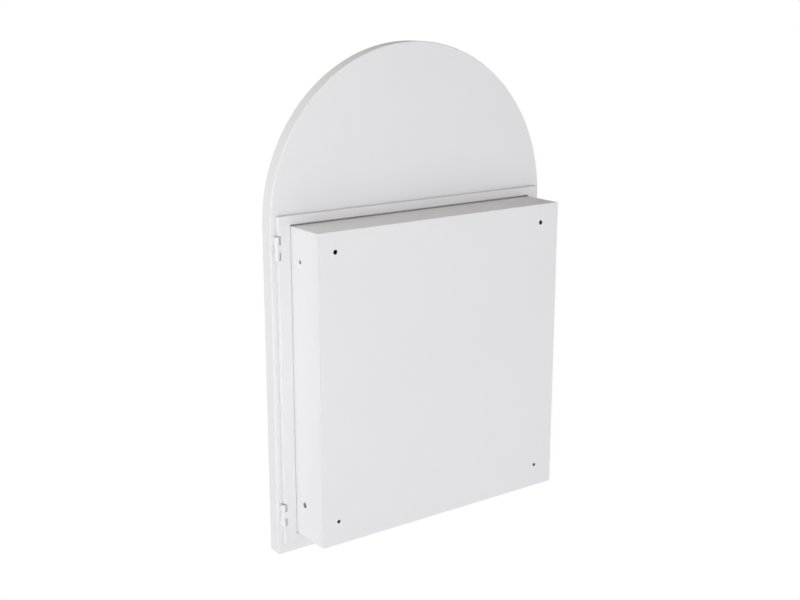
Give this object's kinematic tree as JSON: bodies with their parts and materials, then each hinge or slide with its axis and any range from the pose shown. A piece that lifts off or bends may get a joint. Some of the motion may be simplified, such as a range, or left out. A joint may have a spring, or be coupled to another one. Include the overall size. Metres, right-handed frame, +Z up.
{
  "type": "arched mirror cabinet",
  "caption": "Shallow steel bathroom cabinet with glass shelves behind an arched mirror door hinged along one side.",
  "frame": {"origin": "centre of the back panel's outer face, which rests on the wall", "axes": "+Z up; +Y into the wall; the mirror faces -Y; +X to the right seen from the front, the hinge side"},
  "size_m": [0.511, 0.1035, 0.7629],
  "materials": {
    "powder_coat": "satin powder coat",
    "zinc_steel": "zinc plated",
    "shelf_glass": "clear, polished edges",
    "mirror_silver": "silvered glass",
    "bonding_foam": "soft foam strip",
    "core_board": "raw fibre board",
    "cup_plastic": "moulded",
    "magnet_metal": "nickel plated",
    "stop_rubber": "soft, translucent"
  },
  "bodies": {
    "cabinet": {"box_shell": "powder_coat", "back_panel": "powder_coat", "face_frame": "powder_coat", "shelf_standards": "powder_coat", "shelf_clips": "zinc_steel", "lower_shelf": "shelf_glass", "upper_shelf": "shelf_glass", "upper_cabinet_leaf": "powder_coat", "lower_cabinet_leaf": "powder_coat", "upper_hinge_pin": "zinc_steel", "lower_hinge_pin": "zinc_steel", "magnet_cups": "cup_plastic", "catch_magnets": "magnet_metal"},
    "door": {"door_shell": "powder_coat", "front_trim": "powder_coat", "mirror_glass": "mirror_silver", "mirror_tape": "bonding_foam", "backing_board": "core_board", "upper_door_leaf": "powder_coat", "lower_door_leaf": "powder_coat", "hinge_pads": "powder_coat", "bumpers": "stop_rubber"}
  },
  "joints": [
    {"name": "door_hinge", "type": "hinge", "parent": "cabinet", "child": "door", "pos_m": [0.24715, -0.077, 0], "axis": [0, 0, 1], "range_deg": [0, 110]}
  ]
}
